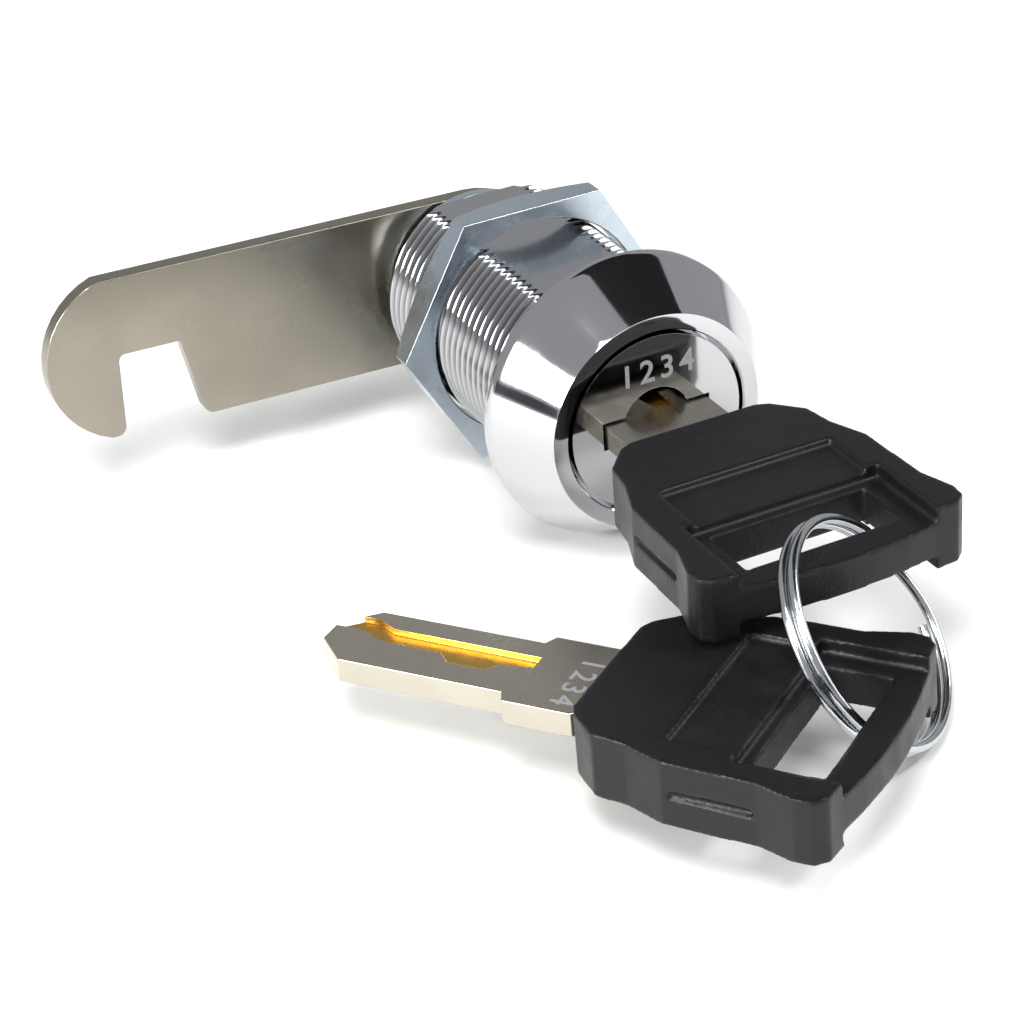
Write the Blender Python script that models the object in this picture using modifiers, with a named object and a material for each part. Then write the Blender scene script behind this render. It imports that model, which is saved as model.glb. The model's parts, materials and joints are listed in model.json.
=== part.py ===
"""Cam lock with a threaded barrel, a conical head, a hook cam, a clamp nut and two keys on a split ring.

Sizes are in millimetres until they reach a mesh, which is in metres.
The lock's axis is Y. Its face looks along -Y, the cam points along -X and +Z is up. The origin is the
centre of the head's seat, the plane that rests on the front of the panel.
"""
import math

import bmesh
import bpy
from mathutils import Euler, Matrix, Vector

MM = 0.001
GAP = 0.3                       # clearance between touching pieces

# Barrel and head
HEAD_R = 12.35
RIM = 0.9                       # cylindrical band behind the cone
HEAD_DEPTH = 6.3                # seat to face
FACE_R = 9.3                    # outer edge of the flat ring round the plug
THREAD_R = 9.5                  # M19 x 1
THREAD_DEPTH = 0.6
FLAT_Z = 8.0                    # half of the 16 mm across the barrel's flats
BARREL_END = 25.2
WELL_R = 7.95                   # counterbore that takes the plug's flange
WELL_DEPTH = 2.0
BORE_R = 6.7
RELIEF_R = 7.3                  # ring groove that the wafers step out into
RELIEF = (-1.3, 13.4)
REAR_WALL = 2.6
REAR_HOLE_R = 5.3
NOTCH_R = 6.3                   # quarter notch in the barrel's end that stops the turn
NOTCH_DEPTH = 1.9
NOTCH_MARGIN = math.radians(11.5)
QUARTER = math.radians(90.0)

# Plug
FLANGE_R = 7.6
FACE_Y = -6.2
PLUG_R = 6.4
SPINDLE_R = 5.0
TANG = 7.0                      # square that drives the stop washer and the cam
TANG_END = 28.2
TANG_SHOULDER = 0.2             # the square starts this far behind the barrel's end
SCREW_HOLE_R = 2.8
SCREW_HOLE_START = 17.5

# Key and keyway
SHANK_W = 9.3
BLADE_W = 7.2
BLADE_T = 2.0
SHANK_LEN = 6.4                 # head front to the step in the blade
BLADE_LEN = 23.2                # head front to the tip
TIP_LEN = 2.6
TIP_HALF = 1.2
TANG_IN_HEAD = 7.0
TANG_NARROW = 0.5               # the tang is this much narrower on each side than the shank
STEP_RUN = 0.5                  # length of the slant between shank and blade
GROOVE_DEPTH = 0.5
GROOVE = ((0.2, 6.2), (1.6, 6.2), (1.6, 18.6), (2.5, 20.3), (2.5, 24.4), (0.8, 24.4), (0.8, 20.9),
          (-0.2, 18.6), (-0.2, 13.6), (-1.2, 12.6), (-1.2, 9.6), (-0.2, 8.6))
HEAD_START = -12.1              # front of the inserted key's head
SLOT_CLEAR = 0.2
MOUTH_CLEAR = 1.0
KEYHOLE_R = 3.05
KEYHOLE_DEPTH = 3.0
HEAD_T = 5.3
HEAD_LEN = 22.2
HEAD_OUTLINE = ((5.6, 0.0), (6.7, 0.5), (8.7, 2.8), (9.1, 5.6), (10.3, 8.8), (10.5, 16.0), (11.4, 19.0),
                (11.3, 20.4), (10.4, 21.2))
BAR_T = 2.9
BAR_INNER = 19.4                # head front to the inner side of the ring bar
BAR_HALF = 8.4
BAR_BULGE = 0.8                 # how far the bar's rear side stands out at its middle
EYE = (6.7, 14.1)               # half length of the ring slot, and where it starts
PANEL = (7.5, 8.0, 0.55)        # recessed grip: half width, start, depth
BRIDGE_START = 13.2             # the grip's thick part ends here and the thinner bar zone begins

# Wafers
WAFER_T = 1.4
WAFER_PITCH = 2.4
WAFER_COUNT = 6
WAFER_X = (-2.2, 4.9)
WAFER_SLOT_END = 5.0
WAFER_Z = (1.4, 3.9)
SPRING_R = 0.56                 # to the middle of the wire
SPRING_SEAT = 4.9               # end of the spring that rests in the plug, from the axis
SPRING_WIRE_R = 0.14
SPRING_TURNS = 4
SPRING_SIDES = 7                # points in each turn

# Fittings behind and on the barrel
NUT_FRONT = 14.1
NUT_T = 2.9
NUT_ACROSS = 22.0
NUT_BORE_R = 9.8
NUT_CHAMFER = 0.55              # part of the corners' overhang taken off along the axis
STOP_FRONT = 25.6
STOP_T = 1.0
STOP_R = 7.9
TAB_HALF = 1.1
TAB_R = (6.7, 7.8)
TAB_REACH = 2.0                 # how far the tab enters the notch
CAM_FRONT = 27.0
CAM_T = 1.5
CAM_HALF = 7.3
CAM_REACH = 39.7                # lock axis to the hook's end
CAM_END_R = 7.8
CAM_LEAN = math.radians(1.8)    # play of the square hole lets the cam lean
HOOK = (33.3, 27.7, 26.2, 0.2)  # notch: hook side, inner top corner, mouth corner, top edge height
WASHER_FRONT = 28.8
WASHER_T = 0.7
WASHER_R = 6.2
TEETH = 12
TOOTH_DEPTH = 0.8
SCREW_R = 2.5
SCREW_TIP = 18.0
SCREW_HEAD = (29.8, 2.6, 4.6)   # front plane, height, radius
RECESS = (2.2, 0.45, 1.5)       # cross recess: half length, half width, depth

# Second key and split ring
SPARE_AT = (-17.73, -30.34, -6.12)
SPARE_TURN = (-1.69, 1.09, 36.39)   # degrees about X, then Y, then Z
RING_CENTRE = (0.64, -35.98, -4.22)
RING_NORMAL = (0.5476, -0.6064, 0.5765)
RING_R = 9.0
RING_START = math.radians(180)  # where on the circle the two ends meet
RING_WIRE_R = 0.4
RING_STEP = 0.92                # distance between the two turns
RING_CROSS = 0.08               # part of a turn on each side of the crossing

SMOOTH = 64                     # segments round the large turned pieces


def collection(name):
    made = bpy.data.collections.new(name)
    bpy.context.scene.collection.children.link(made)
    return made


for old in list(bpy.data.objects):
    bpy.data.objects.remove(old, do_unlink=True)
PARTS = collection("cam_lock")
CUTTERS = collection("cutters")

# Local Z of every turned or flat piece lies along the lock's axis, world +Y.
ALONG_AXIS = Matrix.Rotation(-math.pi / 2, 4, "X")


def material(name, colour, roughness, metallic):
    made = bpy.data.materials.new(name)
    made.use_nodes = True
    shader = made.node_tree.nodes["Principled BSDF"]
    shader.inputs["Base Color"].default_value = (*colour, 1.0)
    shader.inputs["Roughness"].default_value = roughness
    shader.inputs["Metallic"].default_value = metallic
    return made


CHROME = material("chrome", (0.72, 0.73, 0.75), 0.08, 1.0)
ZINC = material("blue_zinc", (0.55, 0.62, 0.68), 0.28, 1.0)
NICKEL = material("nickel", (0.52, 0.49, 0.44), 0.3, 1.0)
BRASS = material("brass", (0.72, 0.52, 0.22), 0.3, 1.0)
STEEL = material("spring_steel", (0.62, 0.63, 0.65), 0.2, 1.0)
PLASTIC = material("black_plastic", (0.02, 0.02, 0.022), 0.45, 0.0)


def add(name, mesh, where, paint=None):
    thing = bpy.data.objects.new(name, mesh)
    where.objects.link(thing)
    if paint:
        mesh.materials.append(paint)
    if where is CUTTERS:
        thing.hide_render = True
        thing.display_type = "WIRE"
    return thing


def mesh_from(name, build):
    mesh = bpy.data.meshes.new(name)
    work = bmesh.new()
    build(work)
    work.to_mesh(mesh)
    work.free()
    return mesh


def box(name, low, high, where=CUTTERS, paint=None):
    centre = [(a + b) / 2 * MM for a, b in zip(low, high)]
    size = [(b - a) * MM for a, b in zip(low, high)]
    place = Matrix.Translation(centre) @ Matrix.Diagonal((*size, 1.0))
    return add(name, mesh_from(name, lambda work: bmesh.ops.create_cube(work, size=1.0, matrix=place)),
               where, paint)


def turned(name, profile, where=CUTTERS, paint=None, segments=SMOOTH, closed=False):
    """Turn (radius, station) points, listed from rear to front, about the lock's axis."""
    def build(work):
        dots = [work.verts.new((radius * MM, 0, station * MM)) for radius, station in profile]
        for first, second in zip(dots, dots[1:] + dots[:1] if closed else dots[1:]):
            work.edges.new((first, second))
    thing = add(name, mesh_from(name, build), where, paint)
    thing.matrix_world = ALONG_AXIS
    screw = thing.modifiers.new("turn", "SCREW")
    screw.axis = "Z"
    screw.angle = 2 * math.pi
    screw.steps = screw.render_steps = segments
    screw.use_merge_vertices = True
    screw.merge_threshold = 0.00001
    return thing


def cylinder(name, radius, start, end, where=CUTTERS, paint=None, segments=SMOOTH):
    return turned(name, ((0, end), (radius, end), (radius, start), (0, start)), where, paint, segments)


def to_mesh(curve_object, name, where, paint):
    """Make a curve object a closed mesh and drop the curve."""
    bpy.context.view_layer.update()
    graph = bpy.context.evaluated_depsgraph_get()
    mesh = bpy.data.meshes.new_from_object(curve_object.evaluated_get(graph))
    mesh.name = name
    work = bmesh.new()
    work.from_mesh(mesh)
    bmesh.ops.remove_doubles(work, verts=work.verts, dist=0.00001)
    bmesh.ops.recalc_face_normals(work, faces=work.faces)
    work.to_mesh(mesh)
    work.free()
    place = curve_object.matrix_world.copy()
    bpy.data.objects.remove(curve_object, do_unlink=True)
    mesh.materials.clear()
    thing = add(name, mesh, where, paint)
    thing.matrix_world = place
    return thing


def plate(name, outlines, start, end, where=CUTTERS, paint=None, place=ALONG_AXIS, flip=-1):
    """Extrude closed (x, z) outlines between two stations; later outlines are holes."""
    curve = bpy.data.curves.new(name, "CURVE")
    curve.dimensions = "2D"
    curve.fill_mode = "BOTH"
    curve.extrude = (end - start) / 2 * MM
    for outline in outlines:
        spline = curve.splines.new("POLY")
        spline.points.add(len(outline) - 1)
        for point, (x, z) in zip(spline.points, outline):
            point.co = (x * MM, flip * z * MM, 0, 1)
        spline.use_cyclic_u = True
    thing = bpy.data.objects.new(name + "_outline", curve)
    PARTS.objects.link(thing)
    thing.matrix_world = place @ Matrix.Translation((0, 0, (start + end) / 2 * MM))
    return to_mesh(thing, name, where, paint)


def wire(name, points, radius, paint, sides):
    curve = bpy.data.curves.new(name, "CURVE")
    curve.dimensions = "3D"
    curve.bevel_depth = radius * MM
    curve.bevel_resolution = sides
    curve.use_fill_caps = True
    spline = curve.splines.new("POLY")
    spline.points.add(len(points) - 1)
    for point, place in zip(spline.points, points):
        point.co = (*(value * MM for value in place), 1)
    thing = bpy.data.objects.new(name + "_path", curve)
    PARTS.objects.link(thing)
    return to_mesh(thing, name, PARTS, paint)


def arc(radius, first, last, steps, centre=(0.0, 0.0)):
    return [(centre[0] + radius * math.cos(first + (last - first) * k / steps),
             centre[1] + radius * math.sin(first + (last - first) * k / steps)) for k in range(steps + 1)]


def circle(radius, steps):
    return arc(radius, 0, 2 * math.pi, steps)[:-1]


def square(side):
    half = side / 2
    return [(-half, -half), (half, -half), (half, half), (-half, half)]


def cut(thing, *cutters, operation="DIFFERENCE"):
    for cutter in cutters:
        change = thing.modifiers.new(operation.lower(), "BOOLEAN")
        change.operation = operation
        change.object = cutter
        change.solver = "EXACT"
    return thing


def shade(thing):
    thing.data.shade_smooth()
    thing.data.set_sharp_from_angle(angle=math.radians(30))


def make_housing():
    front = -HEAD_DEPTH
    body = turned("housing", (
        (REAR_HOLE_R, BARREL_END), (THREAD_R - THREAD_DEPTH, BARREL_END),
        (THREAD_R, BARREL_END - THREAD_DEPTH), (THREAD_R, 0.0), (HEAD_R, 0.0), (HEAD_R, -RIM),
        (FACE_R, front), (WELL_R, front), (WELL_R, front + WELL_DEPTH), (BORE_R, front + WELL_DEPTH),
        (BORE_R, RELIEF[0]), (RELIEF_R, RELIEF[0]), (RELIEF_R, RELIEF[1]), (BORE_R, RELIEF[1]),
        (BORE_R, BARREL_END - REAR_WALL), (REAR_HOLE_R, BARREL_END - REAR_WALL)), PARTS, CHROME, closed=True)
    wide = 2 * THREAD_R
    for side, low, high in (("top", FLAT_Z, wide), ("bottom", -wide, -FLAT_Z)):
        cut(body, box("flat_" + side, (-wide, 0, low), (wide, BARREL_END + 1, high)))
    first, last = NOTCH_MARGIN, -QUARTER - NOTCH_MARGIN
    outline = arc(NOTCH_R, first, last, 16) + arc(wide, last, first, 16)
    return cut(body, plate("notch", [outline], BARREL_END - NOTCH_DEPTH, BARREL_END + 1))


def wafer_station(index):
    return index * WAFER_PITCH


def wafer_side(index):
    return 1 if index % 2 == 0 else -1


def mirrored(side, low, high):
    """A box given for the upper right wafers, turned half round the axis for the lower left ones."""
    if side > 0:
        return low, high
    return (-high[0], low[1], -high[2]), (-low[0], high[1], -low[2])


def make_plug():
    body = turned("plug", (
        (0, TANG_END), (SPINDLE_R, TANG_END), (SPINDLE_R, BARREL_END - REAR_WALL - GAP),
        (PLUG_R, BARREL_END - REAR_WALL - GAP), (PLUG_R, -HEAD_DEPTH + WELL_DEPTH - GAP),
        (FLANGE_R, -HEAD_DEPTH + WELL_DEPTH - GAP), (FLANGE_R, FACE_Y), (0, FACE_Y)), PARTS, BRASS)
    ring = [circle(2 * SPINDLE_R, 24), square(TANG)]
    cut(body, plate("tang_trim", ring, BARREL_END + TANG_SHOULDER, TANG_END + 1))
    cut(body, cylinder("screw_hole", SCREW_HOLE_R, SCREW_HOLE_START, TANG_END + 1, segments=24))
    high = BLADE_T / 2 + SLOT_CLEAR
    wide = SHANK_W / 2 + SLOT_CLEAR
    mouth_end = HEAD_START + SHANK_LEN + STEP_RUN + MOUTH_CLEAR
    cut(body, box("keyway_mouth", (-wide, FACE_Y - 1, -high), (wide, mouth_end, high)))
    wide = BLADE_W / 2 + SLOT_CLEAR
    cut(body, box("keyway", (-wide, FACE_Y - 1, -high), (wide, HEAD_START + BLADE_LEN + 1, high)))
    cut(body, cylinder("keyhole", KEYHOLE_R, FACE_Y - 1, FACE_Y + KEYHOLE_DEPTH, segments=32))
    for index in range(WAFER_COUNT):
        station, reach = wafer_station(index), WAFER_T / 2 + GAP
        low, high = mirrored(wafer_side(index), (-WAFER_SLOT_END, station - reach, WAFER_Z[0] - GAP),
                             (2 * PLUG_R, station + reach, WAFER_Z[1] + GAP))
        cut(body, box(f"wafer_slot_{index + 1}", low, high))
    return body


def make_wafers():
    for index in range(WAFER_COUNT):
        side, station = wafer_side(index), wafer_station(index)
        low, high = mirrored(side, (WAFER_X[0], station - WAFER_T / 2, WAFER_Z[0]),
                             (WAFER_X[1], station + WAFER_T / 2, WAFER_Z[1]))
        box(f"wafer_{index + 1}", low, high, PARTS, BRASS)
        middle = (WAFER_Z[0] + WAFER_Z[1]) / 2
        length = SPRING_SEAT + WAFER_X[0] - 2 * SPRING_WIRE_R - GAP
        points = []
        for k in range(SPRING_TURNS * SPRING_SIDES + 1):
            turn = 2 * math.pi * k / SPRING_SIDES
            x = -SPRING_SEAT + SPRING_WIRE_R + length * k / (SPRING_TURNS * SPRING_SIDES)
            points.append((side * x, station + SPRING_R * math.cos(turn),
                           side * (middle + SPRING_R * math.sin(turn))))
        wire(f"wafer_spring_{index + 1}", points, SPRING_WIRE_R, STEEL, sides=0)


def make_nut():
    corner = NUT_ACROSS / math.sqrt(3)
    hexagon = arc(corner, 0, 2 * math.pi, 6)[:-1]
    nut = plate("clamp_nut", [hexagon, circle(NUT_BORE_R, 48)], NUT_FRONT, NUT_FRONT + NUT_T, PARTS, ZINC)
    drop = (corner - NUT_ACROSS / 2) * NUT_CHAMFER
    chamfer = turned("nut_chamfer", (
        (corner + 2, NUT_FRONT + NUT_T + 1), (corner + 2, NUT_FRONT + NUT_T - drop - 1),
        (corner + 0.5, NUT_FRONT + NUT_T - drop - 1), (corner, NUT_FRONT + NUT_T - drop),
        (NUT_ACROSS / 2, NUT_FRONT + NUT_T), (NUT_ACROSS / 2 - 1, NUT_FRONT + NUT_T + 1)), closed=True,
        segments=48)
    return cut(nut, chamfer)


def make_stop_washer():
    hole = square(TANG + 2 * GAP)
    washer = plate("stop_washer", [circle(STOP_R, 48), hole], STOP_FRONT, STOP_FRONT + STOP_T, PARTS, ZINC)
    tab = box("stop_tab", (TAB_R[0], STOP_FRONT - TAB_REACH, -TAB_HALF),
              (TAB_R[1], STOP_FRONT + STOP_T / 2, TAB_HALF))
    return cut(washer, tab, operation="UNION")


def cam_outline():
    """The hook plate, seen from the front: straight sides, round hub end, round nose and a hook notch."""
    half = CAM_HALF
    nose = -CAM_REACH + CAM_END_R
    meet = math.asin(half / CAM_END_R)
    hook_side, inner, mouth, top = HOOK
    points = arc(half, -math.pi / 2, math.pi / 2, 20)
    points += arc(CAM_END_R, math.pi - meet, math.pi + meet, 16, (nose, 0.0))
    points += arc(0.8, math.pi * 1.5, 2 * math.pi, 4, (-hook_side - 0.8, -half + 0.8))
    points += arc(0.6, math.pi, math.pi / 2, 3, (-hook_side + 0.6, top - 0.6))
    points += arc(0.3, math.pi / 2, 0, 2, (-inner - 0.3, top - 0.3))
    points += arc(1.0, math.pi + 0.2, math.pi * 1.5, 4, (-mouth + 1.0, -half + 1.0))
    return points


def make_cam():
    lean = [(x * math.cos(CAM_LEAN) + z * math.sin(CAM_LEAN), z * math.cos(CAM_LEAN) - x * math.sin(CAM_LEAN))
            for x, z in cam_outline()]
    return plate("cam", [lean, square(TANG + 2 * GAP)], CAM_FRONT, CAM_FRONT + CAM_T, PARTS, NICKEL)


def make_lock_washer():
    outline = []
    root = WASHER_R - TOOTH_DEPTH
    for k in range(TEETH):
        for turn, radius in ((0.0, WASHER_R), (0.45, WASHER_R), (0.55, root), (0.9, root)):
            angle = 2 * math.pi * (k + turn) / TEETH
            outline.append((radius * math.cos(angle), radius * math.sin(angle)))
    return plate("lock_washer", [outline, circle(SCREW_R + GAP, 32)], WASHER_FRONT, WASHER_FRONT + WASHER_T,
                 PARTS, ZINC)


def make_screw():
    front, height, radius = SCREW_HEAD
    body = turned("cam_screw", (
        (0, front + height), (radius * 0.7, front + height), (radius, front + height * 0.55), (radius, front),
        (SCREW_R, front), (SCREW_R, SCREW_TIP + 0.5), (SCREW_R - 0.5, SCREW_TIP), (0, SCREW_TIP)),
        PARTS, ZINC, segments=32)
    long, thin, depth = RECESS
    deep = front + height - depth
    cut(body, box("recess_x", (-long, deep, -thin), (long, front + height + 1, thin)))
    return cut(body, box("recess_z", (-thin, deep, -long), (thin, front + height + 1, long)))


# A key is made in its own frame: X across it, +Y towards the blade's tip, Z up, origin at the head's front.
FLAT = Matrix.Identity(4)


def key_plate(name, outline, low, high, where, paint, place):
    thing = plate(name, [outline], low, high, where, paint, FLAT, flip=1)
    thing.matrix_world = place @ thing.matrix_world
    return thing


def key_box(name, low, high, place):
    thing = box(name, low, high)
    thing.matrix_world = place
    return thing


def make_blade(name, place):
    narrow, wide = BLADE_W / 2, SHANK_W / 2
    tang = wide - TANG_NARROW
    right = [(tang, -TANG_IN_HEAD), (tang, GAP), (wide, 3 * GAP), (wide, SHANK_LEN),
             (narrow, SHANK_LEN + STEP_RUN), (narrow, BLADE_LEN - TIP_LEN), (TIP_HALF, BLADE_LEN)]
    outline = right + [(-x, y) for x, y in reversed(right)]
    blade = key_plate(name, outline, -BLADE_T / 2, BLADE_T / 2, PARTS, BRASS, place)
    return cut(blade, key_plate(name + "_groove", GROOVE, BLADE_T / 2 - GROOVE_DEPTH, BLADE_T, CUTTERS,
                                None, place))


def make_head(name, place):
    right = [(x, -s) for x, s in HEAD_OUTLINE]
    rear = [(BAR_HALF * part, -HEAD_LEN + BAR_BULGE * part ** 2) for part in (1.0, 2 / 3, 1 / 3, 0.0)]
    half = right + rear
    outline = half + [(-x, y) for x, y in reversed(half[:-1])]
    head = key_plate(name, outline, -HEAD_T / 2, HEAD_T / 2, PARTS, PLASTIC, place)
    half_eye, eye_start = EYE
    cut(head, key_box(name + "_eye", (-half_eye, -BAR_INNER, -HEAD_T), (half_eye, -eye_start, HEAD_T), place))
    wide, start, deep = PANEL
    for side in (-1, 1):
        low, high = sorted((side * BAR_T / 2, side * HEAD_T))
        cut(head, key_box(f"{name}_bridge_{side}", (-BAR_HALF, -HEAD_LEN - 1, low),
                          (BAR_HALF, -BRIDGE_START, high), place))
        low, high = sorted((side * (HEAD_T / 2 - deep), side * HEAD_T))
        cut(head, key_box(f"{name}_panel_{side}", (-wide, -BRIDGE_START - 0.5, low), (wide, -start, high), place))
    socket_half = SHANK_W / 2 - TANG_NARROW + GAP
    socket = key_box(name + "_socket", (-socket_half, -TANG_IN_HEAD - GAP, -BLADE_T / 2 - GAP),
                     (socket_half, 1, BLADE_T / 2 + GAP), place)
    return cut(head, socket)


def make_ring():
    """Two flat turns of wire joined by one crossing; both ends stop beside that crossing."""
    normal = Vector(RING_NORMAL).normalized()
    across = normal.cross(Vector((0, 0, 1))).normalized()
    up = across.cross(normal)
    steps = 56
    points = []
    for k in range(steps + 1):
        turn = RING_CROSS + (2 - 2 * RING_CROSS) * k / steps
        blend = min(max((turn - 1 + RING_CROSS) / (2 * RING_CROSS), 0), 1)
        shift = (blend * blend * (3 - 2 * blend) - 0.5) * RING_STEP
        angle = 2 * math.pi * turn + RING_START
        points.append(tuple(Vector(RING_CENTRE) + shift * normal
                            + RING_R * (math.cos(angle) * across + math.sin(angle) * up)))
    return wire("split_ring", points, RING_WIRE_R, STEEL, sides=2)


KEY_IN_LOCK = Matrix.Translation((0, HEAD_START * MM, 0))
SPARE = (Matrix.Translation([value * MM for value in SPARE_AT])
         @ Euler([math.radians(value) for value in SPARE_TURN]).to_matrix().to_4x4())

make_housing()
make_plug()
make_wafers()
make_nut()
make_stop_washer()
make_cam()
make_lock_washer()
make_screw()
for number, spot in ((1, KEY_IN_LOCK), (2, SPARE)):
    make_blade(f"key_{number}_blade", spot)
    make_head(f"key_{number}_head", spot)
make_ring()
for piece in PARTS.objects:
    shade(piece)
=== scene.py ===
"""Cam lock with a hook cam, a clamp nut and two flat keys on a split ring, dressed for a studio view.

Each operator below makes one piece, or one group of like pieces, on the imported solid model. Lengths are
in metres, as the solid model's are; MM turns the sizes that a maker would quote into metres. The lock's
axis is Y, its face looks along -Y, the cam points along -X and +Z is up.
"""
import json
import math

import bmesh
import bpy
from mathutils import Euler, Matrix, Vector

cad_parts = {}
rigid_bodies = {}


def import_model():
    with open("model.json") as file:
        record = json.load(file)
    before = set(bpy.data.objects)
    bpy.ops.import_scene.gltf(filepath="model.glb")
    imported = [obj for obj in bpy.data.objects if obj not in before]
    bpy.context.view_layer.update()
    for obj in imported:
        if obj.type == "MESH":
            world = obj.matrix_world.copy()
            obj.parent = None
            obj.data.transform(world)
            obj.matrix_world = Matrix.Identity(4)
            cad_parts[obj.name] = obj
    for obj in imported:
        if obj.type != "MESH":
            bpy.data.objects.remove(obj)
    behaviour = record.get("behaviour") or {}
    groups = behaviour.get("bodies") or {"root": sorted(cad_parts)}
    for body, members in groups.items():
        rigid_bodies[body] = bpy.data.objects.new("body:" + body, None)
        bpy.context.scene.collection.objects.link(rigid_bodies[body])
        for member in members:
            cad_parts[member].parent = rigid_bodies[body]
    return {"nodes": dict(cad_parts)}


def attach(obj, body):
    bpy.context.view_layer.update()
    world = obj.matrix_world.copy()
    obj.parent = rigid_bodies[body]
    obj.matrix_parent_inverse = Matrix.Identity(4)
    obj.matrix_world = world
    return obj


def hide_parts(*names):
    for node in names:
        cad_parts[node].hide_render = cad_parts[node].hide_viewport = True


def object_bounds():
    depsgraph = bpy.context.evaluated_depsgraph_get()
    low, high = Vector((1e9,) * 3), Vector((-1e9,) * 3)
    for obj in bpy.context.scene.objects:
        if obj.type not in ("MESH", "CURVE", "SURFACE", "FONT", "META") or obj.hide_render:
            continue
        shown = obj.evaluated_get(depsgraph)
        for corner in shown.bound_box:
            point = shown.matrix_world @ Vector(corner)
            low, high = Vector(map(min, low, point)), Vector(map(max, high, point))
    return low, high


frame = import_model()
CAD_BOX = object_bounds()

bl_info = {
    "name": "Cam Lock",
    "version": (1, 0, 0),
    "blender": (4, 5, 0),
    "location": "View3D > Sidebar > Cam Lock",
    "description": "Builds a threaded cam lock with its nut, cam, keys and split ring",
    "category": "Object",
}

MM = 0.001

# Barrel, head and plug, in millimetres, as the solid model has them.
HEAD_R, RIM, HEAD_DEPTH, FACE_R = 12.35, 0.9, 6.3, 9.3
THREAD_R, FLAT_Z, BARREL_END = 9.5, 8.0, 25.2
WELL_R, WELL_DEPTH = 7.95, 2.0
BORE_R, RELIEF_R, RELIEF = 6.7, 7.3, (-1.3, 13.4)
REAR_WALL, REAR_HOLE_R = 2.6, 5.3
NOTCH_R, NOTCH_DEPTH = 6.3, 1.9
NOTCH_SECTOR = (math.radians(-101.5), math.radians(11.5))
THREAD_START = 0.9              # plain neck between the seat and the first thread
THREAD_END_TAPER = 0.7
THREAD_ROW = 0.1                # spacing of the rows of points that the thread is sunk into
CREST_SHARPNESS = 0.8           # under 1 gives narrow crests and wide roots
SEAT_MARGIN = 0.01              # the flats begin this far behind the seat
EDGE_SOFT = 0.12                # softening of the head's turned edges
STEP = 0.02                     # least distance between two corners of the section
CONE_STEPS = 14
FACE_Y = -6.2

# Keys, in a key's own frame: X across, +Y towards the tip, Z up, origin at the front of the head, where the
# blade leaves it.
KEY_1_PLACE = Matrix.Translation((0, -12.1 * MM, 0))
KEY_2_PLACE = (Matrix.Translation((-17.73 * MM, -30.34 * MM, -6.12 * MM))
               @ Euler([math.radians(turn) for turn in (-1.69, 1.09, 36.39)]).to_matrix().to_4x4())
BLADE_TOP = 1.0
GROOVE_FLOOR = 0.5
GROOVE_BOX = ((-1.3, 6.1), (2.6, 24.4))
GROOVE_MARGIN = (0.05, 0.03)    # below the groove's floor, and below the blade's top
GRIP = (7.3, 8.2, 19.0, 2.4)    # half width, start, end and half height of the coarse-grained recess

# Split ring, as the solid model has it.
RING_CENTRE = (0.64, -35.98, -4.22)
RING_NORMAL = (0.5476, -0.6064, 0.5765)
RING_R, RING_STEP, RING_CROSS = 9.0, 0.92, 0.08
RING_START = math.radians(180)
RING_STEPS = 420
RING_WIRE_R, RING_WIRE_SIDES = 0.4, 20

# Wafer springs.
WAFER_COUNT, WAFER_PITCH = 6, 2.4
SPRING_MIDDLE_Z, SPRING_SEAT, SPRING_LENGTH = 2.65, 4.9, 2.12
SPRING_R, SPRING_WIRE_R, SPRING_TURNS, SPRING_STEPS = 0.56, 0.14, 4, 24
SPRING_WIRE_SIDES = 8

# Digits: thin plates that stand just out of the surface.
DIGIT_EXTRUDE, DIGIT_FATTEN, DIGIT_SPACING = 0.02, 0.03, 1.3
DIGIT_SINK = 0.012             # their middle plane is this far out of the face, and into the shank
TEXT_SIZE_PER_HEIGHT = 1.42
SHANK_DIGIT_SHARE = 0.95        # the shank's digits are a little smaller than the face's
FACE_DIGITS_AT = (0.25, 3.75)
SHANK_DIGITS_AT = (-0.6, 3.0)

# Bevels that break the solids' edges.
PLUG_EDGE, WAFER_EDGE, BLADE_EDGE = 0.1, 0.08, 0.1

# Cuts that shape a moulded head beyond its solid, in its own frame: low and high corners.
SIDE_CHANNELS = (((10.02, -15.6, -0.3), (13.0, -9.2, 0.3)), ((-13.0, -15.6, -0.3), (-10.02, -9.2, 0.3)))

# Stage.
FLOOR_HALF = 3000
LENS, SENSOR, CLIP_START = 105.47, 36.0, 10
CAMERA_AT = (-98.631, -191.944, 115.060)
CAMERA_RIGHT = (0.89035, -0.45065, -0.06475)
CAMERA_UP = (0.27777, 0.42500, 0.86152)
CAMERA_FORWARD = (0.36073, 0.78504, -0.50357)
AIM = (0, -8, 0)                # lights and cards face this point
LEFT_SOFTBOX = ((-330, -60, 130), (170, 150))
OTHER_LIGHTS = (                # name, place, size, power
    ("high_fill", (-120, -160, 330), (160, 160), 1.3),
    ("right_fill", (300, -120, 140), (120, 200), 0.5),
    ("edge_light", (160, -215, 345), (110, 60), 0.7))
CARDS = (                       # name, place, size, shade
    ("dark_flag_top", (100, 10, 215), (400, 200), "#0c0d10"),
    ("dark_flag_front", (40, -300, 120), (160, 60), "#161618"),
    ("dark_flag_low_left", (-250, 10, 15), (90, 30), "#2a2a2e"),
    ("grey_flag_right", (230, -60, 30), (120, 80), "#4a4b50"))
ROOM_COLOUR = "#f2f3f5"

SMOOTH_ANGLE = math.radians(32)
MERGE = 0.000002


# ---- colours and nodes ----

def from_hex(text):
    """An sRGB hex colour as the linear RGBA that a shader takes."""
    parts = [int(text[k:k + 2], 16) / 255 for k in (1, 3, 5)]
    return (*[v / 12.92 if v <= 0.04045 else ((v + 0.055) / 1.055) ** 2.4 for v in parts], 1.0)


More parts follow.
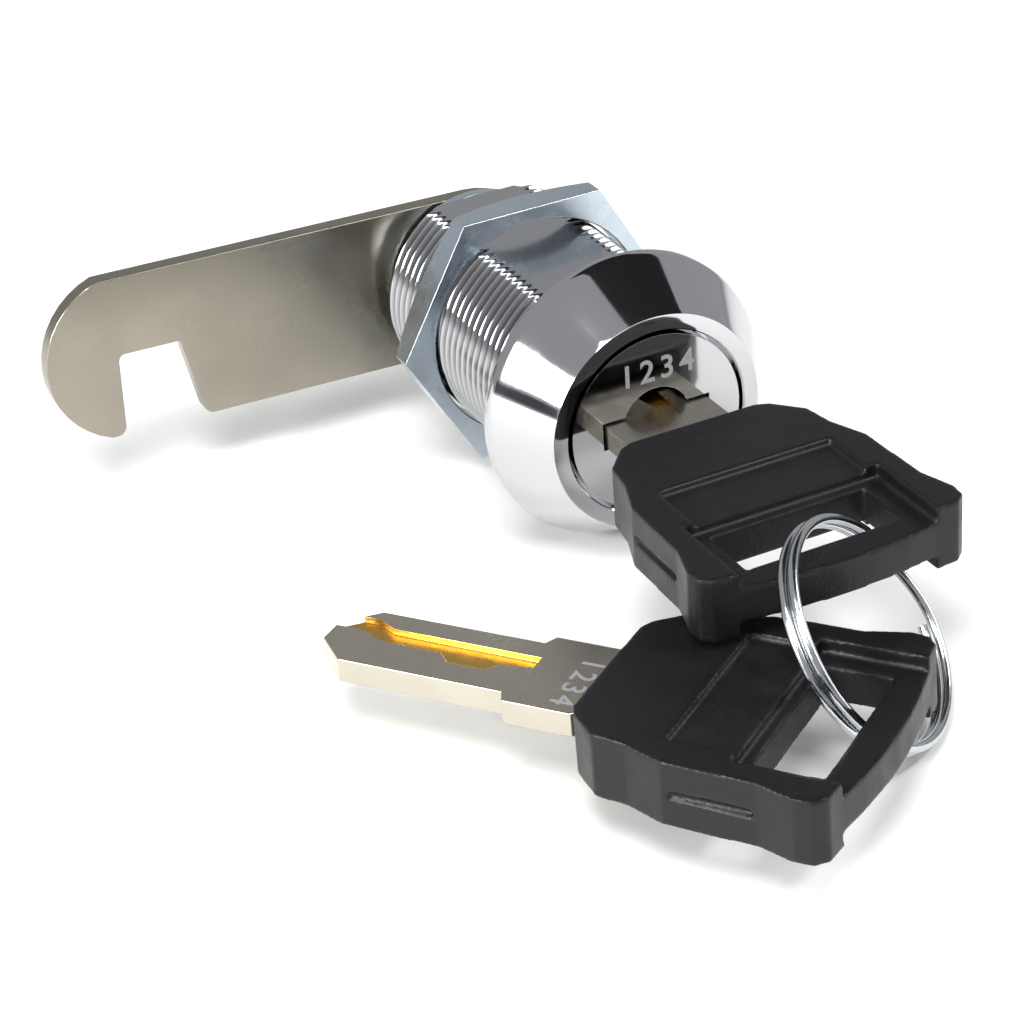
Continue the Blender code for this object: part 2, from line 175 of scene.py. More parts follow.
def per_mm(size):
    """Scale of a pattern whose features are that many millimetres apart, on Object coordinates in metres."""
    return 1.0 / (size * MM)


def add_node(tree, kind, settings=None, inputs=None):
    """Add a node, set its properties, and fill or link its inputs by name or number."""
    made = tree.nodes.new(kind)
    for key, value in (settings or {}).items():
        setattr(made, key, value)
    for key, value in (inputs or {}).items():
        socket = made.inputs[key]
        if isinstance(value, bpy.types.NodeSocket):
            tree.links.new(value, socket)
        else:
            socket.default_value = value
    return made


EVEN = (1.0, 1.0, 1.0)           # a grain that isn't drawn out
NOISE_LOW, NOISE_HIGH = 0.3, 0.7    # the range that nearly all of a noise falls in


def darker(colour, share):
    """The same colour with less light."""
    return (*[part * share for part in colour[:3]], 1.0)


def start_material(name, colour, metallic, roughness):
    """A material with its shader, and Object coordinates to lay patterns on."""
    made = bpy.data.materials.new(name)
    made.use_nodes = True
    tree = made.node_tree
    shader = tree.nodes["Principled BSDF"]
    shader.inputs["Base Color"].default_value = colour
    shader.inputs["Metallic"].default_value = metallic
    shader.inputs["Roughness"].default_value = roughness
    where = add_node(tree, "ShaderNodeTexCoord").outputs["Object"]
    return made, tree, shader, where


def clouded_material(name, colour, metallic, roughness, haze, cloud, grain):
    """A whole finish; sizes and depths are in millimetres.

    roughness: the lowest and highest; haze: how far apart its patches are. cloud: how far apart patches of
    colour are, and the share of light left in the darkest, or None. grain: size, detail, depth, strength, and
    the scale on each axis, where less than 1 draws it out.
    """
    made, tree, shader, where = start_material(name, colour, metallic, sum(roughness) / 2)
    patches = add_node(tree, "ShaderNodeTexNoise", inputs={"Vector": where, "Scale": per_mm(haze), "Detail": 3.0})
    uneven = add_node(tree, "ShaderNodeMapRange", inputs={
        "Value": patches.outputs["Fac"], "From Min": NOISE_LOW, "From Max": NOISE_HIGH,
        "To Min": roughness[0], "To Max": roughness[1]})
    tree.links.new(uneven.outputs["Result"], shader.inputs["Roughness"])
    if cloud:
        clouds = add_node(tree, "ShaderNodeTexNoise", inputs={
            "Vector": where, "Scale": per_mm(cloud[0]), "Detail": 1.0})
        mix = add_node(tree, "ShaderNodeMix", {"data_type": "RGBA"}, {
            "Factor": clouds.outputs["Fac"], 6: darker(colour, cloud[1]), 7: colour})
        tree.links.new(mix.outputs[2], shader.inputs["Base Color"])
    size, detail, depth, strength, stretch = grain
    laid = add_node(tree, "ShaderNodeMapping", inputs={"Vector": where, "Scale": stretch})
    marks = add_node(tree, "ShaderNodeTexNoise", inputs={
        "Vector": laid.outputs["Vector"], "Scale": per_mm(size), "Detail": detail})
    raised = add_node(tree, "ShaderNodeBump", inputs={
        "Height": marks.outputs["Fac"], "Distance": depth * MM, "Strength": strength})
    tree.links.new(raised.outputs["Normal"], shader.inputs["Normal"])
    return made


# ---- materials ----


def chrome_plating(looks):
    """Bright decorative chrome over polished, cast zinc: a near mirror, faintly wavy, with a light haze."""
    return clouded_material("chrome_plated_zinc", looks.chrome, 1.0, (0.035, 0.10), 5.0, None,
                            (3.0, 1.0, 0.006, 0.3, EVEN))


def thread_chrome(looks):
    """The same chrome where the barrel was cast and then threaded: duller, with painted shade that makes it
    nearly black down in the roots.
    """
    made, tree, shader, where = start_material("chrome_plated_thread", looks.chrome, 1.0, 0.17)
    depth = add_node(tree, "ShaderNodeAttribute", {"attribute_name": "painted_root_shade_depth"}).outputs["Fac"]
    # painted shade: the thread's roots are coloured nearly black and its crests a little darker than the chrome,
    # standing in for shade in the grooves
    mix = add_node(tree, "ShaderNodeMix", {"data_type": "RGBA"}, {
        "Factor": depth, 6: darker(looks.chrome, 0.85), 7: darker(looks.chrome, 0.04)})
    tree.links.new(mix.outputs[2], shader.inputs["Base Color"])
    pits = add_node(tree, "ShaderNodeTexNoise", inputs={"Vector": where, "Scale": per_mm(0.5)}).outputs["Fac"]
    raised = add_node(tree, "ShaderNodeBump", inputs={"Height": pits, "Distance": 0.003 * MM, "Strength": 0.4})
    tree.links.new(raised.outputs["Normal"], shader.inputs["Normal"])
    return made


def zinc_plating(looks):
    """Blue-passivated zinc on turned steel: cool, slightly cloudy, with a satin from the turning."""
    return clouded_material("blue_zinc_plated_steel", looks.zinc, 1.0, (0.18, 0.30), 1.5, (9.0, 0.85),
                            (0.35, 3.0, 0.002, 0.3, EVEN))


def satin_nickel(looks):
    """Nickel over a blanked steel plate, tumbled: warm grey with a soft, slightly streaky satin."""
    return clouded_material("satin_nickel_steel", looks.nickel, 1.0, (0.24, 0.34), 5.0, (7.0, 0.75),
                            (0.5, 3.0, 0.002, 0.3, (0.12, 1.0, 1.0)))


def key_nickel(looks):
    """Nickel-plated brass strip: warm silver, with fine lengthwise marks from rolling."""
    return clouded_material("nickel_plated_brass", looks.key_blade, 1.0, (0.20, 0.30), 2.2, (4.0, 0.88),
                            (0.4, 3.0, 0.002, 0.25, (1.0, 0.6, 1.0)))


def bare_brass(looks):
    """Brass bared by the cutter after plating: clean yellow, with fine milling marks."""
    return clouded_material("milled_brass", looks.brass, 1.0, (0.24, 0.34), 1.0, (1.2, 0.86),
                            (0.3, 2.0, 0.008, 0.3, (0.3, 1.0, 1.0)))


def spring_wire(looks):
    """Hard-drawn, bright-nickelled wire: shiny, with marks along the draw too fine to part."""
    return clouded_material("bright_spring_wire", looks.wire, 1.0, (0.10, 0.20), 0.8, None,
                            (0.25, 2.0, 0.004, 0.3, EVEN))


def black_abs(name, looks, roughness, grain):
    """Black ABS from a spark-eroded mould: a grain that breaks the light up, so that it isn't glossy or matt."""
    made = clouded_material(name, looks.plastic, 0.0, roughness, 2.5, (6.0, 0.7), grain)
    shader = made.node_tree.nodes["Principled BSDF"]
    shader.inputs["IOR"].default_value = 1.53
    shader.inputs["Specular IOR Level"].default_value = 0.3
    return made


def head_plastic(looks):
    """The heads' outside: an even, fine grain."""
    return black_abs("moulded_abs", looks, (0.36, 0.48), (0.3, 3.0, 0.035, 0.9, EVEN))


def grip_plastic(looks):
    """The grip's recess, where the mould is coarser: duller, with a coarse tooth."""
    return black_abs("moulded_abs_coarse_grip", looks, (0.45, 0.58), (0.45, 3.0, 0.06, 1.0, EVEN))


def stamped_shade(looks):
    """The metal of a digit, rough where the plating doesn't shine, in a darker grey that is painted shade,
    standing in for the shade down in a struck digit.
    """
    return clouded_material("struck_digit_painted_shade", looks.digits, 0.4, (0.5, 0.75), 0.4, None,
                            (0.4, 2.0, 0.002, 0.3, EVEN))


def studio_floor(looks):
    """Seamless matt paper: pale, with the least tooth."""
    return clouded_material("matt_studio_paper", looks.floor, 0.0, (0.88, 0.92), 9.0, None,
                            (1.5, 3.0, 0.02, 0.1, EVEN))


FINISHES = {}


def finish_of(name):
    """The material of that name from the makers below, made once."""
    makers = {"chrome": chrome_plating, "thread": thread_chrome, "zinc": zinc_plating, "nickel": satin_nickel,
              "key": key_nickel, "brass": bare_brass, "wire": spring_wire, "digit": stamped_shade,
              "paper": studio_floor, "plastic": head_plastic, "grip": grip_plastic}
    if name not in FINISHES:
        FINISHES[name] = makers[name](bpy.context.scene.cam_lock_looks)
    return FINISHES[name]


# ---- meshes ----

def new_object(name, mesh):
    """An object in the scene at the origin, with that data."""
    thing = bpy.data.objects.new(name, mesh)
    bpy.context.scene.collection.objects.link(thing)
    return thing


def baked(thing):
    """Turn the object's modifiers into its mesh."""
    bpy.context.view_layer.update()
    graph = bpy.context.evaluated_depsgraph_get()
    mesh = bpy.data.meshes.new_from_object(thing.evaluated_get(graph))
    thing.modifiers.clear()
    old = thing.data
    thing.data = mesh
    mesh.name = thing.name
    bpy.data.meshes.remove(old)
    return thing


def settle(thing, body, nodes, finishes=(), even=True):
    """Give a finished piece its materials, smooth shading and body; even keeps flats flat."""
    for name in finishes:
        thing.data.materials.append(finish_of(name))
    thing.data.shade_smooth()
    thing.data.set_sharp_from_angle(angle=SMOOTH_ANGLE)
    if even:
        thing.modifiers.new("flat_areas_stay_flat", "WEIGHTED_NORMAL").keep_sharp = True
        baked(thing)
    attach(thing, body)
    if nodes:
        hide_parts(*nodes)
    return thing


def clean_copy(name, node):
    """A merged copy of a solid's mesh, with flat areas made whole so that edges can be rounded."""
    work = bmesh.new()
    work.from_mesh(frame["nodes"][node].data)
    bmesh.ops.remove_doubles(work, verts=work.verts, dist=MERGE)
    bmesh.ops.dissolve_limit(work, angle_limit=math.radians(0.4), verts=work.verts, edges=work.edges)
    mesh = bpy.data.meshes.new(name)
    work.to_mesh(mesh)
    work.free()
    mesh.materials.clear()
    return new_object(name, mesh)


def round_edges(thing, width, segments=2):
    """Give the object a bevel, that many millimetres wide, on the edges that are sharper than 30 degrees."""
    bevel = thing.modifiers.new("rounding", "BEVEL")
    bevel.width = width * MM
    bevel.segments = segments
    bevel.limit_method = "ANGLE"
    bevel.angle_limit = math.radians(30)
    return thing


def cut_away(thing, *cutters):
    """Cut the other objects out of the first, and remove them."""
    for cutter in cutters:
        change = thing.modifiers.new("cut", "BOOLEAN")
        change.operation = "DIFFERENCE"
        change.object = cutter
        change.solver = "EXACT"
    baked(thing)
    for cutter in cutters:
        bpy.data.objects.remove(cutter, do_unlink=True)
    return thing


def grid_of_rings(name, rows, columns):
    """A closed skin over rows of points, each a ring with that many columns; the last joins the first."""
    mesh = bpy.data.meshes.new(name)
    dots = [dot for row in rows for dot in row]
    count = len(rows)
    faces = []
    for r in range(count):
        here, there = r * columns, ((r + 1) % count) * columns
        for c in range(columns):
            d = (c + 1) % columns
            faces.append((here + c, there + c, there + d, here + d))
    mesh.from_pydata(dots, [], faces)
    work = bmesh.new()
    work.from_mesh(mesh)
    bmesh.ops.recalc_face_normals(work, faces=work.faces)
    work.to_mesh(mesh)
    work.free()
    return mesh


def outward(mesh):
    """Merge the mesh's doubles and turn its faces outwards."""
    work = bmesh.new()
    work.from_mesh(mesh)
    bmesh.ops.remove_doubles(work, verts=work.verts, dist=MERGE)
    bmesh.ops.recalc_face_normals(work, faces=work.faces)
    work.to_mesh(mesh)
    work.free()


# ---- geometry node trees ----

def geometry_tree(name, inputs):
    """A new Geometry Nodes tree with a geometry in and out and named inputs. Returns tree, in node, out node."""
    tree = bpy.data.node_groups.new(name, "GeometryNodeTree")
    tree.interface.new_socket("Geometry", in_out="INPUT", socket_type="NodeSocketGeometry")
    for label, kind in inputs:
        tree.interface.new_socket(label, in_out="INPUT", socket_type=kind)
    tree.interface.new_socket("Geometry", in_out="OUTPUT", socket_type="NodeSocketGeometry")
    return tree, tree.nodes.new("NodeGroupInput"), tree.nodes.new("NodeGroupOutput")


def run_tree(thing, tree, values):
    """Run the tree on the object with those inputs and keep the result as its mesh."""
    modifier = thing.modifiers.new(tree.name, "NODES")
    modifier.node_group = tree
    for item in tree.interface.items_tree:
        if item.in_out == "INPUT" and item.name in values:
            modifier[item.identifier] = values[item.name]
    return baked(thing)


def end_tree(tree, geometry, paint, finish):
    """Every tree ends here: real geometry, with its material set."""
    whole = add_node(tree, "GeometryNodeRealizeInstances", inputs={"Geometry": geometry}).outputs["Geometry"]
    painted = add_node(tree, "GeometryNodeSetMaterial", inputs={"Geometry": whole, "Material": paint})
    tree.links.new(painted.outputs["Geometry"], finish.inputs["Geometry"])


def wire_tree():
    """Sweeps a round wire along a path of edges."""
    tree, start, finish = geometry_tree("wire_along_path", (
        ("Radius", "NodeSocketFloat"), ("Sides", "NodeSocketInt"), ("Material", "NodeSocketMaterial")))
    path = add_node(tree, "GeometryNodeMeshToCurve", inputs={"Mesh": start.outputs["Geometry"]}).outputs["Curve"]
    round_wire = add_node(tree, "GeometryNodeCurvePrimitiveCircle", inputs={
        "Resolution": start.outputs["Sides"], "Radius": start.outputs["Radius"]}).outputs["Curve"]
    tube = add_node(tree, "GeometryNodeCurveToMesh", inputs={
        "Curve": path, "Profile Curve": round_wire, "Fill Caps": True}).outputs["Mesh"]
    end_tree(tree, tube, start.outputs["Material"], finish)
    return tree


def thread_tree():
    """Sinks a helical thread into the points of a turned barrel, then planes two flats across it."""
    tree, start, finish = geometry_tree("thread_with_flats", (
        ("Pitch", "NodeSocketFloat"), ("Depth", "NodeSocketFloat"), ("Crest", "NodeSocketFloat"),
        ("Flat", "NodeSocketFloat"), ("Start", "NodeSocketFloat"), ("End", "NodeSocketFloat"),
        ("Material", "NodeSocketMaterial")))

    place = add_node(tree, "GeometryNodeInputPosition").outputs["Position"]
    split = add_node(tree, "ShaderNodeSeparateXYZ", inputs={0: place}).outputs
    value = {**dict(start.outputs.items()), **dict(split.items())}
    whole_turn = 2 * math.pi
    for name, operation, *terms in (
            ("x2", "MULTIPLY", "X", "X"), ("z2", "MULTIPLY", "Z", "Z"), ("r2", "ADD", "x2", "z2"),
            ("radius", "SQRT", "r2"), ("angle", "ARCTAN2", "Z", "X"), ("turn", "DIVIDE", "angle", whole_turn),
            # how deep the thread is sunk at this point
            ("along", "DIVIDE", "Y", "Pitch"), ("turns", "ADD", "along", "turn"), ("phase", "FRACT", "turns"),
            ("phase_angle", "MULTIPLY", "phase", whole_turn), ("cosine", "COSINE", "phase_angle"),
            ("wave", "MULTIPLY_ADD", "cosine", 0.5, 0.5),
            ("rounded", "POWER", "wave", CREST_SHARPNESS),
            ("sinking", "MULTIPLY", "rounded", "Depth"), ("sunk", "SUBTRACT", "Crest", "sinking"),
            # only on the outer skin, between start and end
            ("root", "SUBTRACT", "Crest", "Depth"), ("on_skin", "GREATER_THAN", "radius", "root"),
            ("past_start", "GREATER_THAN", "Y", "Start"), ("before_end", "LESS_THAN", "Y", "End"),
            ("inside", "MULTIPLY", "past_start", "before_end"), ("active", "MULTIPLY", "on_skin", "inside"),
            ("wanted", "MINIMUM", "radius", "sunk"), ("change", "SUBTRACT", "wanted", "radius"),
            ("applied", "MULTIPLY", "change", "active"), ("new_radius", "ADD", "radius", "applied"),
            ("safe_radius", "MAXIMUM", "radius", MERGE / 2), ("factor", "DIVIDE", "new_radius", "safe_radius"),
            ("wide", "MULTIPLY", "X", "factor"), ("high", "MULTIPLY", "Z", "factor"),
            # plane the two flats behind the seat
            ("behind_seat", "GREATER_THAN", "Y", SEAT_MARGIN * MM), ("lower", "MULTIPLY", "Flat", -1.0),
            ("below_top", "MINIMUM", "high", "Flat"), ("planed", "MAXIMUM", "below_top", "lower"),
            ("cut", "SUBTRACT", "planed", "high"), ("cut_here", "MULTIPLY", "cut", "behind_seat"),
            ("level", "ADD", "high", "cut_here"), ("height", "ABSOLUTE", "high"),
            ("on_thread", "LESS_THAN", "height", "Flat"), ("groove", "MULTIPLY", "rounded", "active"),
            ("depth", "MULTIPLY", "groove", "on_thread")):
        value[name] = add_node(tree, "ShaderNodeMath", {"operation": operation}, {
            place_in: value.get(term, term) for place_in, term in enumerate(terms)}).outputs[0]
    moved = add_node(tree, "ShaderNodeCombineXYZ", inputs={
        "X": value["wide"], "Y": value["Y"], "Z": value["level"]}).outputs[0]
    # the depth is kept on the points to drive the painted shade in the thread's roots
    marked = add_node(tree, "GeometryNodeStoreNamedAttribute", {"data_type": "FLOAT", "domain": "POINT"}, {
        "Geometry": value["Geometry"], "Name": "painted_root_shade_depth", "Value": value["depth"]}).outputs["Geometry"]
    threaded = add_node(tree, "GeometryNodeSetPosition", inputs={
        "Geometry": marked, "Position": moved}).outputs["Geometry"]
    end_tree(tree, threaded, value["Material"], finish)
    return tree


def swept_wire(name, points, radius, sides, finish):
    """A closed round wire along the points, with its radius in millimetres."""
    mesh = bpy.data.meshes.new(name)
    mesh.from_pydata(points, [(k, k + 1) for k in range(len(points) - 1)], [])
    tree = bpy.data.node_groups.get("wire_along_path") or wire_tree()
    thing = run_tree(new_object(name, mesh), tree, {
        "Radius": radius * MM, "Sides": sides, "Material": finish_of(finish)})
    outward(thing.data)
    return thing


# ---- settings ----

class CamLockBarrelSettings(bpy.types.PropertyGroup):
    """Sizes of the barrel's visible surface."""
    pitch: bpy.props.FloatProperty(name="Thread pitch", description="Distance from crest to crest",
                                   default=1.0 * MM, min=0.0005, unit="LENGTH")
    depth: bpy.props.FloatProperty(name="Thread depth", description="Depth of the thread below its crests",
                                   default=0.55 * MM, min=0.0, unit="LENGTH")
    columns: bpy.props.IntProperty(name="Columns", description="Points round the barrel", default=216, min=48)


class CamLockKeySettings(bpy.types.PropertyGroup):
    """Sizes and code of the keys."""
    voxel: bpy.props.FloatProperty(name="Head mesh size", description="Size of the mesh of the moulded heads",
                                   default=0.16 * MM, min=0.00008, unit="LENGTH", precision=5)
    relaxing: bpy.props.IntProperty(name="Head softness", description="Passes that round the heads' edges",
                                    default=8, min=0)
    code: bpy.props.StringProperty(name="Code", description="Plain digits on the face and the spare key",
                                   default="1234")
    digit_height: bpy.props.FloatProperty(name="Digit height", description="Height of the digits",
                                          default=1.95 * MM, min=0.0005, unit="LENGTH")


def colour_setting(name, description, shade):
    """A colour that a user may change."""
    return bpy.props.FloatVectorProperty(name=name, description=description, subtype="COLOR", size=4,
                                         min=0, max=1, default=from_hex(shade))


class CamLockLooksSettings(bpy.types.PropertyGroup):
    """Colours of the finishes."""
    chrome: colour_setting("Chrome", "Plating of the barrel and plug", "#c3c4c7")
    zinc: colour_setting("Zinc", "Plating of the nut, washers and screw", "#ccd8e2")
    nickel: colour_setting("Cam nickel", "Plating of the cam", "#a39d91")
    key_blade: colour_setting("Key blade", "Plating of the key blades", "#c4beb0")
    brass: colour_setting("Brass", "Bare brass in the groove and of the wafers", "#d6ad57")
    wire: colour_setting("Wire", "Split ring and coil springs", "#c5c8cc")
    plastic: colour_setting("Plastic", "Moulded key heads", "#0e0e10")
    # painted shade: the digits' grey is darker than the chrome, standing in for the shade in struck digits
    digits: colour_setting("Digits", "Metal of the digits", "#8b8c8e")
    floor: colour_setting("Floor", "Studio paper under the object", "#e4e4e2")


class CamLockStageSettings(bpy.types.PropertyGroup):
    """Studio light."""
    key_power: bpy.props.FloatProperty(name="Key light", description="Power of the softbox at the left",
                                       default=1.6, min=0.0, unit="POWER")
    room: bpy.props.FloatProperty(name="Room light", description="Strength of the even light from all round",
                                  default=0.5, min=0.0)
    floor_drop: bpy.props.FloatProperty(name="Floor gap", description="Gap between the object and the floor",
                                        default=0.3 * MM, min=0.0, unit="LENGTH")


# ---- operators ----

class CAMLOCK_OT_barrel(bpy.types.Operator):
    """Make the barrel: conical head, face ring, bore and threaded body with two flats"""
    bl_idname = "camlock.barrel"
    bl_label = "Barrel"

    def profile(self):
        """Radius and station of the closed section, densely set along the thread."""
        front = -HEAD_DEPTH
        soft = EDGE_SOFT
        cone = (HEAD_R - FACE_R) / (HEAD_DEPTH - RIM)
        dots = [(HEAD_R - soft, 0.0), (HEAD_R, -soft), (HEAD_R, -RIM + soft), (HEAD_R - soft * cone, -RIM - soft)]
        for k in range(1, CONE_STEPS):
            y = -RIM - soft + (front + RIM + 2 * soft) * k / CONE_STEPS
            dots.append((HEAD_R + (y + RIM) * cone, y))
        dots += [(FACE_R + soft * cone, front + soft), (FACE_R, front + STEP), (FACE_R - soft, front),
                 (WELL_R + soft, front), (WELL_R, front + soft), (WELL_R, front + WELL_DEPTH),
                 (BORE_R, front + WELL_DEPTH), (BORE_R, RELIEF[0]), (RELIEF_R, RELIEF[0]),
                 (RELIEF_R, RELIEF[1]), (BORE_R, RELIEF[1]), (BORE_R, BARREL_END - REAR_WALL),
                 (REAR_HOLE_R, BARREL_END - REAR_WALL), (REAR_HOLE_R, BARREL_END), (NOTCH_R - STEP, BARREL_END),
                 (NOTCH_R, BARREL_END), (THREAD_R - THREAD_END_TAPER, BARREL_END)]
        length = BARREL_END - THREAD_END_TAPER
        rows = int(length / THREAD_ROW)
        dots += [(THREAD_R, length * (1 - k / rows)) for k in range(rows + 1)]
        return dots

    def execute(self, context):
        settings = context.scene.cam_lock_barrel
        columns = settings.columns
        rows = []
        for radius, y in self.profile():
            row = []
            for c in range(columns):
                angle = 2 * math.pi * c / columns - math.pi
                station = y
                if radius >= NOTCH_R and NOTCH_SECTOR[0] < angle < NOTCH_SECTOR[1]:
                    station = min(y, BARREL_END - NOTCH_DEPTH)
                row.append((radius * math.cos(angle) * MM, station * MM, radius * math.sin(angle) * MM))
            rows.append(row)
        thing = new_object("threaded_barrel", grid_of_rings("threaded_barrel", rows, columns))
        run_tree(thing, thread_tree(), {
            "Pitch": settings.pitch, "Depth": settings.depth, "Crest": THREAD_R * MM, "Flat": FLAT_Z * MM,
            "Start": THREAD_START * MM, "End": BARREL_END * MM, "Material": finish_of("thread")})
        thing.data.materials.append(finish_of("chrome"))
        for face in thing.data.polygons:
            if face.center.y < 2 * SEAT_MARGIN * MM:
                face.material_index = len(thing.data.materials) - 1
        settle(thing, "barrel", ["housing"], even=False)
        return {"FINISHED"}


def block(name, low, high):
    """A box for cutting, from its low and high corners in millimetres."""
    work = bmesh.new()
    place = (Matrix.Translation([(a + b) / 2 * MM for a, b in zip(low, high)])
             @ Matrix.Diagonal((*[(b - a) * MM for a, b in zip(low, high)], 1.0)))
    bmesh.ops.create_cube(work, size=1.0, matrix=place)
    mesh = bpy.data.meshes.new(name)
    work.to_mesh(mesh)
    work.free()
    return new_object(name, mesh)


class CAMLOCK_OT_plug(bpy.types.Operator):
    """Make the plug from its solid, with its edges broken, so that slot and hole catch the light"""
    bl_idname = "camlock.plug"
    bl_label = "Plug"

    def execute(self, context):
        thing = baked(round_edges(clean_copy("keyed_plug", "plug"), PLUG_EDGE))
        settle(thing, "plug", ["plug"], ("chrome",))
        return {"FINISHED"}


class CAMLOCK_OT_wafers(bpy.types.Operator):
    """Make the six brass wafers and their coil springs inside the plug"""
    bl_idname = "camlock.wafers"
    bl_label = "Wafers and springs"

    def execute(self, context):
        for index in range(WAFER_COUNT):
            number = index + 1
            right = index % 2 == 0
            wafer = baked(round_edges(clean_copy(f"brass_wafer_{number}", f"wafer_{number}"), WAFER_EDGE))
            settle(wafer, "right_wafers" if right else "left_wafers", [f"wafer_{number}"], ("brass",))
            side = 1 if right else -1
            points = []
            total = SPRING_TURNS * SPRING_STEPS
            for k in range(total + 1):
                turn = 2 * math.pi * k / SPRING_STEPS
                x = -SPRING_SEAT + SPRING_WIRE_R + SPRING_LENGTH * k / total
                points.append((side * x * MM, (index * WAFER_PITCH + SPRING_R * math.cos(turn)) * MM,
                               side * (SPRING_MIDDLE_Z + SPRING_R * math.sin(turn)) * MM))
            spring = swept_wire(f"coil_spring_{number}", points, SPRING_WIRE_R, SPRING_WIRE_SIDES, "wire")
            settle(spring, "plug", [f"wafer_spring_{number}"])
        return {"FINISHED"}


class CAMLOCK_OT_fittings(bpy.types.Operator):
    """Make the nut, stop washer, cam, tooth washer and screw from their solids, with broken edges"""
    bl_idname = "camlock.fittings"
    bl_label = "Nut, cam and fixings"

    def execute(self, context):
        pieces = (      # piece, node, body, slot, finish, width of its bevels
            ("hex_clamp_nut", "clamp_nut", "nut", "blue_zinc", "zinc", 0.12),
            ("quarter_turn_stop", "stop_washer", "plug", "blue_zinc", "zinc", 0.1),
            ("hook_cam", "cam", "plug", "nickel", "nickel", 0.22),
            ("tooth_washer", "lock_washer", "plug", "blue_zinc", "zinc", 0.06),
            ("cam_fixing_screw", "cam_screw", "plug", "blue_zinc", "zinc", 0.15))
        for name, node, body, slot_name, finish, width in pieces:
            thing = baked(round_edges(clean_copy(name, node), width, 3))
            settle(thing, body, [node], (finish,))
        return {"FINISHED"}


def paint_groove(mesh, place):
    """Give the groove's floor and walls the second material, bare brass."""
    back = place.inverted()
    (left, rear), (right, tip) = GROOVE_BOX
    for face in mesh.polygons:
        spot = back @ face.center / MM
        inside = left < spot.x < right and rear < spot.y < tip
        if inside and GROOVE_FLOOR - GROOVE_MARGIN[0] < spot.z < BLADE_TOP - GROOVE_MARGIN[1]:
            face.material_index = 1


def soft_moulding(thing, voxel, passes):
    """Rebuild the form evenly and relax it, so that every edge gets the small radius of a moulding."""
    remesh = thing.modifiers.new("even_skin", "REMESH")
    remesh.mode = "VOXEL"
    remesh.voxel_size = voxel
    relax = thing.modifiers.new("relaxed_edges", "SMOOTH")
    relax.factor = 0.5
    relax.iterations = passes
    return baked(thing)


class CAMLOCK_OT_keys(bpy.types.Operator):
    """Make both keys: plated blades with a bare brass groove, and moulded heads"""
    bl_idname = "camlock.keys"
    bl_label = "Keys"

    def execute(self, context):
        keys = context.scene.cam_lock_keys
        for number, body, place in ((1, "key", KEY_1_PLACE), (2, "spare_key", KEY_2_PLACE)):
            blade = baked(round_edges(clean_copy(f"flat_key_blade_{number}", f"key_{number}_blade"), BLADE_EDGE))
            paint_groove(blade.data, place)
            settle(blade, body, [f"key_{number}_blade"], ("key", "brass"))
            cutters = []
            for side, (low, high) in enumerate(SIDE_CHANNELS):
                cutters.append(block(f"side_channel_{number}_{side}", low, high))
                cutters[-1].data.transform(place)
            head = cut_away(clean_copy(f"moulded_key_head_{number}", f"key_{number}_head"), *cutters)
            soft_moulding(head, keys.voxel, keys.relaxing)
            settle(head, body, [f"key_{number}_head"], ("plastic", "grip"), even=False)
            back = place.inverted()
            half, start, end, top = GRIP
            for face in head.data.polygons:
                spot = back @ face.center / MM
                if start < -spot.y < end and abs(spot.x) < half and abs(spot.z) < top:
                    face.material_index = 1
        return {"FINISHED"}


class CAMLOCK_OT_ring(bpy.types.Operator):
    """Make the split ring: two turns of bright wire joined by one crossing"""
    bl_idname = "camlock.ring"
    bl_label = "Split ring"

    def execute(self, context):
        normal = Vector(RING_NORMAL).normalized()
        across = normal.cross(Vector((0, 0, 1))).normalized()
        up = across.cross(normal)
        points = []
        for k in range(RING_STEPS + 1):
            turn = RING_CROSS + (2 - 2 * RING_CROSS) * k / RING_STEPS
            part = min(max((turn - 1 + RING_CROSS) / (2 * RING_CROSS), 0), 1)
            shift = (part * part * (3 - 2 * part) - 0.5) * RING_STEP
            angle = 2 * math.pi * turn + RING_START
            spot = (Vector(RING_CENTRE) + shift * normal
                    + RING_R * (math.cos(angle) * across + math.sin(angle) * up))
            points.append(tuple(spot * MM))
        thing = swept_wire("two_turn_ring", points, RING_WIRE_R, RING_WIRE_SIDES, "wire")
        settle(thing, "ring", ["split_ring"])
        return {"FINISHED"}


def struck_digits(name, text, height, place, body, finish):
    """Digits as thin closed plates in the plane of place, facing its +Z."""
    curve = bpy.data.curves.new(name, "FONT")
    curve.body = text
    curve.size = height * TEXT_SIZE_PER_HEIGHT
    curve.extrude = DIGIT_EXTRUDE * MM
    curve.offset = DIGIT_FATTEN * MM
    curve.space_character = DIGIT_SPACING
    curve.align_x = "CENTER"
    source = new_object(name + "_text", curve)
    bpy.context.view_layer.update()
    graph = bpy.context.evaluated_depsgraph_get()
    mesh = bpy.data.meshes.new_from_object(source.evaluated_get(graph))
    bpy.data.objects.remove(source, do_unlink=True)
    mesh.transform(place)
    mesh.materials.clear()
    outward(mesh)
    thing = new_object(name, mesh)
    return settle(thing, body, [], (finish,))


class CAMLOCK_OT_marks(bpy.types.Operator):
    """Set plain digits on the plug's face and on the spare key's shank"""
    bl_idname = "camlock.marks"
    bl_label = "Struck digits"

    def execute(self, context):
        keys = context.scene.cam_lock_keys
        face_x, face_z = FACE_DIGITS_AT
        face = (Matrix.Translation((face_x * MM, (FACE_Y - DIGIT_SINK) * MM, face_z * MM))
                @ Matrix.Rotation(math.radians(90), 4, "X"))
        struck_digits("face_digits", keys.code, keys.digit_height, face, "plug", "digit")
        shank_x, shank_y = SHANK_DIGITS_AT
        shank = (KEY_2_PLACE @ Matrix.Translation((shank_x * MM, shank_y * MM, (BLADE_TOP - DIGIT_SINK) * MM))
                 @ Matrix.Rotation(math.radians(180), 4, "Z"))
        struck_digits("shank_digits", keys.code, keys.digit_height * SHANK_DIGIT_SHARE, shank,
                      "spare_key", "digit")
        return {"FINISHED"}


